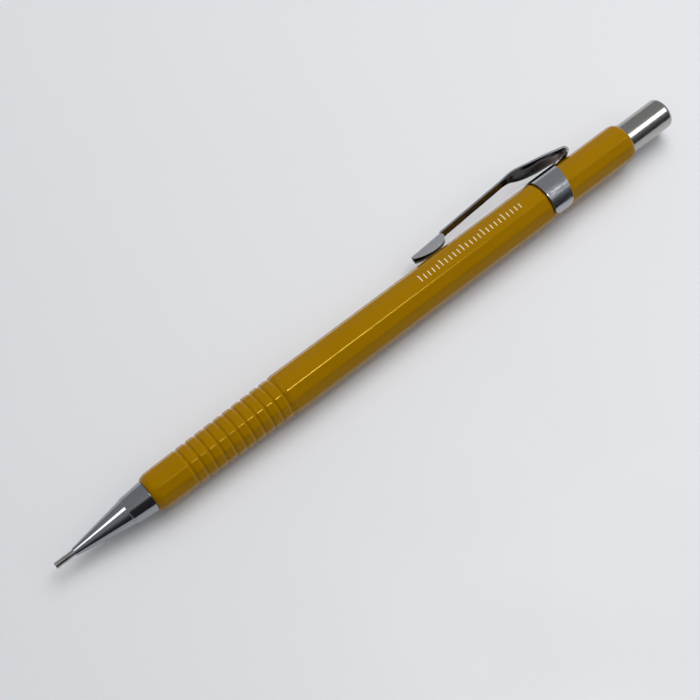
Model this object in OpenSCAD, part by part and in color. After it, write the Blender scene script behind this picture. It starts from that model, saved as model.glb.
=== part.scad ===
// Slim push-button drafting pencil: twelve-sided barrel with a ring-grooved grip, two-step cone,
// fixed lead sleeve, pocket clip, push cap and a three-jaw lead clutch.
// It lies on one flat of its barrel. +X runs from the writing tip to the push cap, +Y is the clip's
// side and +Z is up. The origin is on that flat, halfway along it. Sizes are in millimetres.
// Places along the pencil are stations, counted from the tip of the lead sleeve.

/* [Lead] */
// Diameter of the lead
lead_d = 0.9; // [0.7:0.05:1.1]
// Length of a new lead
lead_l = 60; // [50:1:65]
// How far the lead is drawn back inside its sleeve
lead_setback = 0.6; // [0.2:0.1:2]
// Spare leads in the lead tube
spare_count = 3; // [1:1:4]

/* [Cone and sleeve] */
// Length of the lead sleeve in front of the cone
sleeve_l = 3.8; // [3:0.1:6]
// Wall of the lead sleeve
sleeve_wall = 0.13; // [0.1:0.01:0.17]
// Length of the slender front cone
nose_l = 11.1; // [9.5:0.1:14]
// Front diameter of the front cone
nose_front_d = 1.5; // [1.3:0.05:1.9]
// Rear diameter of the front cone
nose_rear_d = 5.1; // [4.8:0.05:5.6]
// Length of the wider rear cone
skirt_l = 4.7; // [3.5:0.1:7]
// Radial step between the two cones
nose_step = 0.14; // [0.03:0.01:0.15]
// Rear diameter of the rear cone
skirt_rear_d = 6.15; // [5.8:0.05:6.6]
// Least wall of the cone round its cavities
nose_wall = 0.27; // [0.2:0.01:0.32]
// Length of the cone's threaded spigot
spigot_l = 7.5; // [6:0.1:9]
// Wall of the spigot under its thread
spigot_wall = 0.3; // [0.22:0.01:0.36]
// Height of the spigot's thread
thread_h = 0.12; // [0.06:0.01:0.16]
// Pitch of the spigot's thread
thread_pitch = 0.75; // [0.5:0.05:1.2]

/* [Barrel] */
// Length of the barrel
barrel_l = 112.2; // [104:0.1:125]
// Width of the main barrel across its flats
barrel_af = 8.3; // [8.1:0.05:9.5]
// Width of the rear barrel across its flats
rear_af = 7.75; // [7.5:0.05:8]
// Width of the grip across its flats at the front
grip_front_af = 7.25; // [6.9:0.05:7.6]
// Width of the grip across its flats at the rear
grip_rear_af = 8.1; // [7.3:0.05:8.1]
// Length of the plain collar in front of the grooves
collar_l = 7.7; // [5:0.1:10]
// Number of grip grooves
groove_count = 11; // [5:1:12]
// Distance from groove to groove
groove_pitch = 2.04; // [1.6:0.02:2.3]
// Width of a groove at the corners
groove_w = 0.8; // [0.5:0.05:1.1]
// Depth of a groove below the flats
groove_depth = 0.16; // [0.08:0.01:0.22]
// Length of the last land behind the grooves
end_land = 0.1; // [0.1:0.05:1]
// Length of the rounded front shoulder
front_round = 1.3; // [0.6:0.1:2]
// Length of the rounded rear shoulder
rear_round = 1.6; // [0.8:0.1:2.5]
// Length of the slimmer rear barrel, which carries the clip
rear_l = 21.5; // [19:0.1:26]

/* [Clutch] */
// Push travel of the cap
push_travel = 3; // [2:0.1:4]
// Wall of a jaw behind its head
jaw_wall = 0.36; // [0.28:0.02:0.42]
// How much the jaw heads stand out
head_rise = 0.24; // [0.16:0.02:0.3]
// Length of the jaws
jaw_l = 12.5; // [11:0.1:14]
// How far a jaw head swings out when the clutch opens
jaw_swing = 0.27; // [0.15:0.01:0.3]
// How far the jaw heads stand in front of the clutch ring
head_lead = 1; // [0.7:0.1:1.4]
// Length of the clutch ring
ring_l = 2.4; // [1.8:0.1:3]
// Wall of the clutch ring
ring_wall = 0.55; // [0.4:0.05:0.6]
// How far the clutch ring travels before its stop
ring_travel = 0.9; // [0.5:0.1:1.2]
// Length of the chuck stem in front of the connector
stem_l = 7; // [5.5:0.1:9]
// Length of the chuck stem in the connector
hub_grip_l = 3; // [2:0.1:4]
// Wire of the return spring
wire_d = 0.3; // [0.2:0.02:0.36]
// Active turns of the return spring
spring_turns = 9; // [5:1:11]
// Length of the clutch sleeve's front neck
neck_l = 4.5; // [3:0.1:6]
// Wall of the clutch sleeve round the spring
clutch_wall = 0.28; // [0.2:0.01:0.34]
// Thickness of the clutch sleeve's flange
flange_t = 0.8; // [0.5:0.1:1.2]

/* [Lead tube, eraser and cap] */
// Wall of the lead tube
tube_wall = 0.35; // [0.25:0.05:0.4]
// Exposed length of the push cap
cap_out = 10.6; // [8:0.1:14]
// Length of the push cap inside the barrel
cap_in = 14; // [12:0.5:16]
// Diameter of the push cap
cap_d = 6.2; // [6:0.05:6.4]
// Wall of the push cap
cap_wall = 0.35; // [0.25:0.05:0.45]
// Rounding of the push cap's rear edge
cap_round = 0.9; // [0.4:0.1:1.4]
// Diameter of the eraser
eraser_d = 3.9; // [3.5:0.1:4.2]
// Length of the eraser
eraser_l = 12.5; // [10:0.5:14]
// Depth of the eraser in its seat
eraser_depth = 4.5; // [3:0.1:6]
// How far the eraser seat stands back from the push cap's front end
seat_set_back = 0.5; // [0.2:0.1:1.5]
// Length of the lead tube that is held in the eraser seat
tube_grip_l = 4; // [3:0.1:5]
// Length of the connector's plug in the lead tube
tube_plug_l = 3.5; // [2.5:0.1:5]
// Length of the cleaning pin in front of the eraser
pin_l = 12; // [8:0.5:14]

/* [Clip] */
// Thickness of the clip's sheet metal
clip_t = 0.4; // [0.3:0.05:0.5]
// Width of the clip's band at the top of the barrel
band_w = 5.35; // [4.5:0.05:6.5]
// How much further back the band reaches at the clip than at the top
band_flare = 0.95; // [0:0.05:1.5]
// Open angle of the band on the side away from the clip
band_gap_angle = 60; // [8:1:90]
// How far the middle of that gap is turned down from the place opposite the clip
band_gap_turn = 16; // [0:1:30]
// Distance from the band's rear edge at the top to the clip's fold
fold_back = 4.85; // [4:0.05:6]
// Inside radius of the clip's fold
fold_in_r = 0.42; // [0.3:0.02:0.6]
// Distance from the fold to the arm's highest point
apex_back = 10.8; // [9:0.1:13]
// Height of the arm's highest point over the pencil's axis
apex_h = 8.35; // [7.6:0.05:9]
// Bend radius at the arm's highest point
apex_bend_r = 6; // [3:0.5:10]
// Distance from the highest point to the front end of the arm
arm_l = 25.8; // [22:0.1:32]
// Height of the arm's front end over the pencil's axis
arm_end_h = 6.65; // [6.2:0.05:7.2]
// Width of the arm at its runner
arm_w = 2.2; // [1.6:0.1:2.6]
// Width of the clip at its fold
fold_w = 4.6; // [4:0.1:6]
// Length of the runner's folded sides
runner_l = 7.3; // [6:0.1:9]

/* [Clearances] */
// Radial room of the lead in its bores
lead_clear = 0.03; // [0.02:0.01:0.05]
// Radial room of sliding and turning fits
run_clear = 0.05; // [0.03:0.01:0.08]
// Radial room of the cap in the barrel
cap_clear = 0.07; // [0.04:0.01:0.1]
// Gap between faces that meet end to end
end_gap = 0.05; // [0.03:0.01:0.1]
// Gap between the runner and the barrel's corners
runner_gap = 0.05; // [0.03:0.01:0.15]
// Visible gap between the main barrel and the clip's band
band_front_gap = 0.25; // [0.1:0.05:0.5]
// Room round the inner pieces where nothing has to fit
loose_clear = 0.12; // [0.08:0.01:0.15]

/* [Hidden] */
$fn = 64;
sides = 12;
half_side = 180 / sides;
arc_steps = 6;

// Front of the pencil, stations and radii
lead_r = lead_d / 2;
bore_r = lead_r + lead_clear;
sleeve_r = bore_r + sleeve_wall;
nose_front = sleeve_l;
nose_rear = nose_front + nose_l;
barrel_front = nose_rear + skirt_l;
nose_front_r = nose_front_d / 2;
nose_rear_r = nose_rear_d / 2;
skirt_front_r = nose_rear_r + nose_step;
skirt_rear_r = skirt_rear_d / 2;
sleeve_tip_bevel = 0.08;
sleeve_seat_taper = 0.08;
shank_step = 0.25;
retainer_step = 0.35;
retainer_l = 1.6;

// The station where the front cone's outside has a given radius
function nose_station(r) = nose_front + nose_l * (r - nose_front_r) / (nose_rear_r - nose_front_r);

shank_r = sleeve_r + shank_step;
shank_front = nose_station(shank_r + nose_wall);
retainer_r = shank_r + retainer_step;
retainer_front = nose_station(retainer_r + nose_wall);
retainer_rear = retainer_front + retainer_l;

// Clutch, from the lead outwards
stem_r = bore_r + jaw_wall;
head_r = stem_r + head_rise;
head_flat = 0.8;
head_taper = 2.2;
jaw_slit_angle = 14;
chamber_r = head_r + jaw_swing + loose_clear;
chamber_front = max(nose_station(chamber_r + nose_wall), retainer_rear);
ring_in_r = head_r + run_clear;
ring_r = ring_in_r + ring_wall;
ring_room_r = ring_r + run_clear;
jaw_spare = 0.25;
jaw_front = max(
    chamber_front + push_travel + jaw_spare,
    nose_station(ring_room_r + nose_wall) + ring_travel - head_lead
);
jaw_rear = jaw_front + jaw_l;
ring_front = jaw_front + head_lead;
ring_rear = ring_front + ring_l;
ring_stop = ring_front - ring_travel;
hub_r = stem_r + 0.1;
hub_front = jaw_rear + end_gap;
connector_front = hub_front + stem_l;
hub_rear = connector_front + hub_grip_l;

// Clutch sleeve and spring
neck_in_r = stem_r + jaw_swing + loose_clear;
spring_in_r = max(hub_r, stem_r + jaw_swing / 2) + loose_clear;
coil_r = spring_in_r + wire_d;
spring_room_r = coil_r + wire_d / 2 + loose_clear;
clutch_r = spring_room_r + clutch_wall;
clutch_front = ring_rear + end_gap;
spring_front = clutch_front + neck_l;
clutch_rear = connector_front - end_gap;
clutch_room_r = clutch_r + run_clear;
spigot_r = clutch_room_r + spigot_wall;
thread_r = spigot_r + thread_h;
spigot_rear = barrel_front + spigot_l;
front_bore_r = thread_r + run_clear;
flange_front = spigot_rear + end_gap;
shoulder = flange_front + flange_t + end_gap;

// Lead tube, eraser and cap
lead_room = 0.25;
tube_in_r = 3 * lead_r + lead_room;
tube_r = tube_in_r + tube_wall;
narrow_bore_r = max(clutch_r, tube_r) + loose_clear;
connector_nose_r = spring_room_r - run_clear;
connector_nose_l = push_travel + 0.8;
connector_collar_l = 1.5;
connector_collar_front = connector_front + connector_nose_l;
tube_front = connector_collar_front + connector_collar_l;
connector_rear = tube_front + tube_plug_l;
narrow_bore_rear = tube_front;
barrel_rear = barrel_front + barrel_l;
cap_r = cap_d / 2;
cap_in_r = cap_r - cap_wall;
cap_front = barrel_rear - cap_in;
cap_rear = barrel_rear + cap_out;
seat_r = cap_in_r - run_clear;
seat_front = cap_front + seat_set_back;
tube_rear = seat_front + tube_grip_l;
eraser_r = eraser_d / 2;
eraser_front = tube_rear + end_gap;
eraser_rear = eraser_front + eraser_l;
seat_rear = eraser_front + eraser_depth;
pin_r = lead_r * 0.7;
pin_rooted = 3;
rear_bore_r = cap_r + cap_clear;
rear_bore_front = cap_front - push_travel - 0.8;
main_bore_r = tube_r + 0.6;

// Barrel outside
function corner_r(af) = af / 2 / cos(half_side);
groove_front = barrel_front + collar_l;
grip_rear = groove_front + (groove_count - 1) * groove_pitch + groove_w + end_land;
main_rear = barrel_rear - rear_l;
main_corner_r = corner_r(barrel_af);
rear_corner_r = corner_r(rear_af);
outside_r = max(main_corner_r, rear_corner_r) + 1;
front_face_r = skirt_rear_r + 0.04;
rear_face_r = rear_bore_r + 0.12;
function grip_af(s) = grip_front_af
    + (grip_rear_af - grip_front_af) * (s - barrel_front) / (grip_rear - barrel_front);

// Clip
band_in_r = rear_corner_r + run_clear;
band_r = band_in_r + clip_t;
band_front = main_rear + band_front_gap;
band_rear = band_front + band_w;
fold_s = band_rear + fold_back;
fold_r = fold_in_r + clip_t / 2;
tab_in_h = band_in_r + 0.01;
tab_h = tab_in_h + clip_t / 2;
fold_centre = [fold_s, tab_h + fold_r];
apex = [fold_s - apex_back, apex_h - clip_t / 2];
arm_end = [apex[0] - arm_l, arm_end_h - clip_t / 2];
flare_front = 2.5;
flare_mid = 2;
flare_rear = 8;
runner_seat_r = main_corner_r + runner_gap;

// Frame: the flat's middle is the origin
axis_h = barrel_af / 2;
origin_s = (grip_rear + main_rear) / 2;

// Puts a piece that is drawn by stations round the X axis into the pencil's own frame
module placed() {
    translate([-origin_s, 0, axis_h]) children();
}

// A turned solid: its profile is a list of [station, radius]
module turned(profile, from = 0, sweep = 360) {
    rotate([0, 90, 0])
        rotate_extrude(angle = sweep, start = from)
            polygon([for (p = profile) [p[1], p[0]]]);
}

// A round rod from one station to another
module rod(s0, s1, r) {
    translate([s0, 0, 0]) rotate([0, 90, 0]) cylinder(h = s1 - s0, r = r);
}

// A twelve-sided bar with a flat facing down
module faceted_bar(s0, s1, af0, af1) {
    translate([s0, 0, 0])
        rotate([0, 90, 0])
            rotate([0, 0, half_side])
                cylinder(h = s1 - s0, r1 = corner_r(af0), r2 = corner_r(af1), $fn = sides);
}

// Everything within the barrel's turned outline, with its two rounded ends
module barrel_envelope() {
    front_r = corner_r(grip_front_af);
    front_arc = [for (i = [0:arc_steps]) let (a = 90 * i / arc_steps) [
        barrel_front + front_round * (1 - cos(a)),
        front_face_r + (front_r - front_face_r) * sin(a)
    ]];
    rear_arc = [for (i = [arc_steps:-1:0]) let (a = 90 * i / arc_steps) [
        barrel_rear - rear_round * (1 - cos(a)),
        rear_face_r + (rear_corner_r - rear_face_r) * sin(a)
    ]];
    turned(concat(
        [[barrel_front, 0]],
        front_arc,
        [[barrel_front + front_round, outside_r], [barrel_rear - rear_round, outside_r]],
        rear_arc,
        [[barrel_rear, 0]]
    ));
}

// One grip groove with sloping walls
module grip_groove(s) {
    top_r = corner_r(grip_af(s)) + 0.05;
    floor_r = grip_af(s) / 2 - groove_depth;
    turned([
        [s - groove_w / 2, top_r],
        [s - groove_w / 4, floor_r],
        [s + groove_w / 4, floor_r],
        [s + groove_w / 2, top_r]
    ]);
}

// Moulded barrel: tapered grip, main barrel, slimmer rear barrel and the stepped bore
module barrel() {
    color("#986f03") placed() difference() {
        intersection() {
            union() {
                faceted_bar(barrel_front, grip_rear, grip_front_af, grip_rear_af);
                faceted_bar(grip_rear, main_rear, barrel_af, barrel_af);
                faceted_bar(main_rear, barrel_rear, rear_af, rear_af);
            }
            barrel_envelope();
        }
        for (i = [0:groove_count - 1]) grip_groove(groove_front + groove_w / 2 + i * groove_pitch);
        rod(barrel_front - 1, shoulder, front_bore_r);
        rod(barrel_front - 1, narrow_bore_rear + 1, narrow_bore_r);
        rod(narrow_bore_rear, rear_bore_front + 1, main_bore_r);
        rod(rear_bore_front, barrel_rear + 1, rear_bore_r);
    }
}

// Two-step cone with its spigot and the stepped cavity for sleeve, retainer, jaws and clutch
module cone_tip() {
    thread_turns = floor((spigot_l - 1.5) / thread_pitch);
    color("#c9ccd2") placed() difference() {
        union() {
            turned([
                [nose_front, 0], [nose_front, nose_front_r], [nose_rear, nose_rear_r],
                [nose_rear, skirt_front_r], [barrel_front - end_gap, skirt_rear_r],
                [barrel_front - end_gap, spigot_r], [spigot_rear, spigot_r], [spigot_rear, 0]
            ]);
            for (i = [1:thread_turns])
                let (s = barrel_front + i * thread_pitch)
                    turned([
                        [s - thread_pitch / 3, spigot_r - 0.05], [s, thread_r],
                        [s + thread_pitch / 3, spigot_r - 0.05]
                    ]);
        }
        turned([
            [nose_front, 0], [nose_front, sleeve_r], [shank_front, sleeve_r + sleeve_seat_taper], [shank_front, 0]
        ]);
        rod(shank_front, retainer_front + 0.1, shank_r);
        rod(retainer_front, chamber_front + 0.1, retainer_r);
        rod(chamber_front, ring_stop + 0.1, chamber_r);
        rod(ring_stop, ring_rear + 0.1, ring_room_r);
        rod(ring_rear, spigot_rear + 1, clutch_room_r);
    }
}

// Lead sleeve: thin pipe with a tapered seat and a thicker root, pressed into the cone from behind
module lead_sleeve() {
    color("#b9bcc0") placed() difference() {
        turned([
            [0, 0], [0, sleeve_r - sleeve_tip_bevel / 2], [sleeve_tip_bevel, sleeve_r], [nose_front, sleeve_r],
            [shank_front, sleeve_r + sleeve_seat_taper], [shank_front, shank_r],
            [retainer_front, shank_r], [retainer_front, 0]
        ]);
        rod(-1, retainer_front + 1, bore_r);
    }
}

// Rubber washer that brakes the lead
module lead_retainer() {
    color("#2b2b2b") placed() difference() {
        rod(retainer_front, retainer_rear, retainer_r);
        rod(retainer_front - 1, retainer_rear + 1, bore_r);
    }
}

// Brass ring that holds the jaws shut
module clutch_ring() {
    mouth_bevel = 0.2;
    color("#b8923f") placed() turned([
        [ring_front, ring_in_r], [ring_front, ring_r - mouth_bevel], [ring_front + mouth_bevel, ring_r],
        [ring_rear - mouth_bevel, ring_r], [ring_rear, ring_r - mouth_bevel], [ring_rear, ring_in_r]
    ]);
}

// One jaw of the collet: a third of a slotted tube with a flared head
module jaw(direction) {
    nose_bevel = 0.2;
    sector = 360 / 3 - jaw_slit_angle;
    color("#c29a45") placed() turned([
        [jaw_front, bore_r], [jaw_front, head_r - nose_bevel], [jaw_front + nose_bevel, head_r],
        [jaw_front + head_flat, head_r], [jaw_front + head_flat + head_taper, stem_r],
        [jaw_rear, stem_r], [jaw_rear, bore_r]
    ], direction - sector / 2, sector);
}

module jaw_1() { jaw(90); }
module jaw_2() { jaw(210); }
module jaw_3() { jaw(330); }

// Tail of the collet, fixed in the connector
module chuck_stem() {
    color("#c29a45") placed() difference() {
        rod(hub_front, hub_rear, hub_r);
        rod(hub_front - 1, hub_rear + 1, bore_r);
    }
}

// Brass sleeve that is clamped by its flange and holds the spring
module clutch_sleeve() {
    color("#b8923f") placed() difference() {
        union() {
            rod(clutch_front, clutch_rear, clutch_r);
            rod(flange_front, flange_front + flange_t, front_bore_r - run_clear);
        }
        rod(clutch_front - 1, spring_front + 0.1, neck_in_r);
        rod(spring_front, clutch_rear + 1, spring_room_r);
    }
}

// Spring: points of its centre line and the rings of its wire
spring_start = spring_front + wire_d / 2 + end_gap;
spring_end = connector_front - wire_d / 2 - end_gap;
spring_pitch = (spring_end - spring_start) / spring_turns;
ring_steps = 8;
wire_sides = 6;
spring_rings = spring_turns * ring_steps;
spring_lead = atan2(spring_pitch, 2 * PI * coil_r);

// A point of the wire's skin: turn angle t along the coil, angle a round the wire
function spring_point(t, a) = let (
    out = wire_d / 2 * cos(a),
    up = wire_d / 2 * sin(a),
    r = coil_r + out,
    side = -up * sin(spring_lead)
) [
    spring_start + spring_pitch * t / 360 + up * cos(spring_lead),
    r * cos(t) - side * sin(t),
    r * sin(t) + side * cos(t)
];

echo(spring_least_gap = spring_pitch * cos(spring_lead) - wire_d);

// Helical return spring, one unbroken wire
module return_spring() {
    skin = [for (i = [0:spring_rings]) for (j = [0:wire_sides - 1])
        spring_point(360 * i / ring_steps, 360 * j / wire_sides)];
    walls = [for (i = [0:spring_rings - 1]) for (j = [0:wire_sides - 1]) let (
        a = i * wire_sides + j,
        b = i * wire_sides + (j + 1) % wire_sides
    ) each [[a, b, a + wire_sides], [b, b + wire_sides, a + wire_sides]]];
    first = [for (j = [1:wire_sides - 2]) [0, j + 1, j]];
    base = spring_rings * wire_sides;
    last = [for (j = [1:wire_sides - 2]) [base, base + j, base + j + 1]];
    color("#8f9398") placed() polyhedron(skin, concat(walls, first, last));
}

// Bush that joins collet and lead tube
module tube_connector() {
    color("#3a3a3c") placed() difference() {
        turned([
            [connector_front, 0], [connector_front, connector_nose_r],
            [connector_collar_front, connector_nose_r], [connector_collar_front, tube_r],
            [tube_front, tube_r], [tube_front, tube_in_r], [connector_rear, tube_in_r], [connector_rear, 0]
        ]);
        rod(connector_front - 1, hub_rear, hub_r);
        rod(connector_front - 1, connector_rear + 1, bore_r + loose_clear);
    }
}

// Reservoir for spare leads
module lead_tube() {
    color("#4a4a4e") placed() difference() {
        rod(tube_front, tube_rear, tube_r);
        rod(tube_front - 1, tube_rear + 1, tube_in_r);
    }
}

// Bush on the rear of the lead tube: holds the eraser inside and the cap outside
module eraser_seat() {
    color("#3a3a3c") placed() difference() {
        rod(seat_front, seat_rear, seat_r);
        rod(seat_front - 1, tube_rear, tube_r);
        rod(seat_front - 1, seat_rear + 1, tube_in_r);
        rod(eraser_front - end_gap, seat_rear + 1, eraser_r + run_clear);
    }
}

// White eraser with a rounded rear end and the hole for the cleaning pin
module eraser() {
    edge = 0.4;
    color("#eeece6") placed() difference() {
        turned([
            [eraser_front, 0], [eraser_front, eraser_r], [eraser_rear - edge, eraser_r],
            [eraser_rear, eraser_r - edge], [eraser_rear, 0]
        ]);
        rod(eraser_front - 1, eraser_front + pin_rooted, pin_r);
    }
}

// Wire for clearing the lead sleeve
module cleaning_pin() {
    color("#a9acb0") placed() rod(eraser_front - pin_l, eraser_front + pin_rooted, pin_r);
}

// The lead in the jaws
module working_lead() {
    color("#2a2a2c") placed() rod(lead_setback, lead_setback + lead_l, lead_r);
}

// Spare leads lying on the wall of the tube
module spare_leads() {
    spread = 66;
    lie_r = tube_in_r - lead_r - lead_clear;
    color("#2a2a2c") placed() for (i = [0:spare_count - 1])
        let (a = 270 + spread * (i - (spare_count - 1) / 2))
            translate([0, lie_r * cos(a), lie_r * sin(a)])
                rod(connector_rear + 2, connector_rear + 2 + lead_l, lead_r);
}

// Drawn push cap: closed rear end with a rounded edge
module push_cap() {
    edge = [for (i = [0:arc_steps]) let (a = 90 * i / arc_steps)
        [cap_rear - cap_round * (1 - sin(a)), cap_r - cap_round * (1 - cos(a))]];
    inner_round = max(cap_round - cap_wall, 0.1);
    inner_rear = cap_rear - cap_wall;
    inner_edge = [for (i = [0:arc_steps]) let (a = 90 * i / arc_steps)
        [inner_rear - inner_round * (1 - sin(a)), cap_in_r - inner_round * (1 - cos(a))]];
    color("#b4b5b6") placed() difference() {
        turned(concat([[cap_front, 0], [cap_front, cap_r]], edge, [[cap_rear, 0]]));
        turned(concat([[cap_front - 1, 0], [cap_front - 1, cap_in_r]], inner_edge, [[inner_rear, 0]]));
    }
}

// Open band round the rear barrel, wider at the clip, with the tab that runs back to the fold
module clip_band() {
    reach = band_flare + 1;
    slant = atan2(band_flare, band_r);
    tab_front = band_rear + band_flare - 0.6;
    color("#c4c7cb") placed() {
        difference() {
            turned([
                [band_front, band_in_r], [band_front, band_r],
                [band_rear + reach, band_r], [band_rear + reach, band_in_r]
            ], 270 + band_gap_turn + band_gap_angle / 2, 360 - band_gap_angle);
            translate([band_rear, 0, 0])
                rotate([0, 0, -slant])
                    translate([0, -2 * band_r, -2 * band_r])
                        cube([4 * reach, 4 * band_r, 4 * band_r]);
        }
        translate([tab_front, tab_in_h, -fold_w / 2]) cube([fold_s - end_gap - tab_front, clip_t, fold_w]);
    }
}

// Centre line of the clip's arm in side view: fold, rise, bend and long straight, as [x, y, heading]
to_apex = apex - fold_centre;
leave_angle = atan2(to_apex[1], to_apex[0]) - acos(fold_r / norm(to_apex));
rise_heading = leave_angle + 90;
fall_heading = atan2(arm_end[1] - apex[1], arm_end[0] - apex[0]) + 360;
bend_angle = fall_heading - rise_heading;
bend_tangent = apex_bend_r * tan(bend_angle / 2);
bend_start = apex - bend_tangent * [cos(rise_heading), sin(rise_heading)];
bend_centre = bend_start + apex_bend_r * [cos(rise_heading + 90), sin(rise_heading + 90)];
fold_steps = 10;
bend_steps = 6;
arm_path = concat(
    [for (i = [0:fold_steps]) let (a = -90 + (leave_angle + 90) * i / fold_steps)
        [fold_centre[0] + fold_r * cos(a), fold_centre[1] + fold_r * sin(a), a + 90]],
    [for (i = [0:bend_steps]) let (h = rise_heading + bend_angle * i / bend_steps)
        [bend_centre[0] + apex_bend_r * cos(h - 90), bend_centre[1] + apex_bend_r * sin(h - 90), h]],
    [[arm_end[0], arm_end[1], fall_heading]]
);

// The arm's centre line moved sideways by d
function beside(d) = [for (p = arm_path) [p[0] - d * sin(p[2]), p[1] + d * cos(p[2])]];

// Springy arm: folded strip that flares towards its fold, with the runner's two folded sides
module clip_arm() {
    left = beside(clip_t / 2);
    right = beside(-clip_t / 2);
    n = len(arm_path);
    strip = concat(left, [for (i = [n - 1:-1:0]) right[i]]);
    half_plan = [
        [arm_end[0] - 1, arm_w / 2], [apex[0] - flare_front, arm_w / 2],
        [apex[0] + flare_mid, (arm_w + fold_w) / 4 + 0.2], [apex[0] + flare_rear, fold_w / 2],
        [fold_s + fold_r + 1, fold_w / 2]
    ];
    m = len(half_plan);
    plan = concat(half_plan, [for (i = [m - 1:-1:0]) [half_plan[i][0], -half_plan[i][1]]]);
    tilt = fall_heading - 180;
    runner_mid = arm_end + runner_l / 2 * [cos(tilt), sin(tilt)];
    runner_drop = (runner_mid[1] - runner_seat_r) / cos(tilt);
    runner_side = [for (i = [0:2 * arc_steps]) let (a = 180 * i / (2 * arc_steps))
        [runner_l / 2 * (1 - cos(a)), -runner_drop * sin(a)]];
    color("#c4c7cb") placed() {
        intersection() {
            linear_extrude(2 * fold_w, center = true) polygon(strip);
            translate([0, 2 * apex_h, 0]) rotate([90, 0, 0]) linear_extrude(2 * apex_h) polygon(plan);
        }
        for (side = [-1, 1])
            translate([arm_end[0], arm_end[1], side * (arm_w - clip_t) / 2])
                rotate([0, 0, tilt])
                    linear_extrude(clip_t, center = true) polygon(runner_side);
    }
}

barrel();
cone_tip();
lead_sleeve();
lead_retainer();
clutch_ring();
jaw_1();
jaw_2();
jaw_3();
chuck_stem();
clutch_sleeve();
return_spring();
tube_connector();
lead_tube();
eraser_seat();
eraser();
cleaning_pin();
working_lead();
spare_leads();
push_cap();
clip_band();
clip_arm();
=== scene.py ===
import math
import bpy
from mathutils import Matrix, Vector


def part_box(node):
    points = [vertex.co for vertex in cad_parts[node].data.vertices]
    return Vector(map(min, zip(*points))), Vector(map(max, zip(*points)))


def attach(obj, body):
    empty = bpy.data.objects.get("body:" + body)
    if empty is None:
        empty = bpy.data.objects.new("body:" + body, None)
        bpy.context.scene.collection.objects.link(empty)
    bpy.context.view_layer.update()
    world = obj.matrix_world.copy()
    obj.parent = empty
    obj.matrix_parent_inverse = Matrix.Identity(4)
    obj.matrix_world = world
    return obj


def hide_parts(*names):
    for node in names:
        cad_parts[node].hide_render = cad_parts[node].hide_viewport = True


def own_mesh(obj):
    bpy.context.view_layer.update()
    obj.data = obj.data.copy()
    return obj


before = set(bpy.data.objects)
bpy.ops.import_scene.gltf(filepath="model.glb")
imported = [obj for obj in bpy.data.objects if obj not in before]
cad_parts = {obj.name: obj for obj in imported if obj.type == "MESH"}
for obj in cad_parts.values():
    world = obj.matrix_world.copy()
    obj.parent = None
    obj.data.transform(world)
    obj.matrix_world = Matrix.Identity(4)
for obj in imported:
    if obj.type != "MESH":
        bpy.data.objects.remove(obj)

# Looks of the drafting pencil, built over its CAD frame: moulded barrel, turned and plated cone,
# sheet-metal clip, drawn cap and the lead clutch inside. Shapes are drawn by stations, which count
# along the pencil from the tip of the lead sleeve, in millimetres round the pencil's axis. Angles
# round it count upwards from the clip's side.

from types import SimpleNamespace

import bmesh
import bpy
from bpy.props import FloatProperty, FloatVectorProperty, IntProperty, PointerProperty
from bpy.types import Operator, Panel, PropertyGroup
from mathutils import Euler, Vector

bl_info = {
    "name": "Drafting pencil",
    "version": (1, 0, 0),
    "blender": (4, 5, 0),
    "location": "View3D > Sidebar > Pencil",
    "description": "Builds a push-button drafting pencil and its studio",
    "category": "Add Mesh",
}

MM = 0.001
SIDES = 12
HALF_SIDE = math.pi / SIDES
FULL_TURN = 2 * math.pi
# Room between pieces that are pressed together, in mm
FIT = 0.01
# Faces that meet at a greater angle show a sharp edge
SHARP_EDGE = math.radians(40)
# Edges of a sheet that turn by more than this are rounded off
SHEET_EDGE = math.radians(50)
# A corner of an outline whose half angle is greater counts as straight
STRAIGHT = math.radians(89)


def hex_linear(text):
    """A hex colour such as "996e00" as linear red, green and blue."""
    parts = [int(text[i:i + 2], 16) / 255 for i in (0, 2, 4)]
    return tuple(c / 12.92 if c <= 0.04045 else ((c + 0.055) / 1.055) ** 2.4 for c in parts)


def length(name, description, millimetres):
    """A size in the sidebar, stored in metres."""
    return FloatProperty(
        name=name, description=description, default=millimetres * MM, min=0, unit="LENGTH", precision=5)


def angle(name, description, degrees):
    """An angle in the sidebar, stored in radians."""
    return FloatProperty(name=name, description=description, default=math.radians(degrees), subtype="ANGLE")


def count(name, description, number):
    """A number of like things in the sidebar."""
    return IntProperty(name=name, description=description, default=number, min=0)


def colour(name, description, text):
    """A colour in the sidebar, given as hex."""
    return FloatVectorProperty(
        name=name, description=description, default=hex_linear(text), min=0, max=1, subtype="COLOR")


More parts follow.
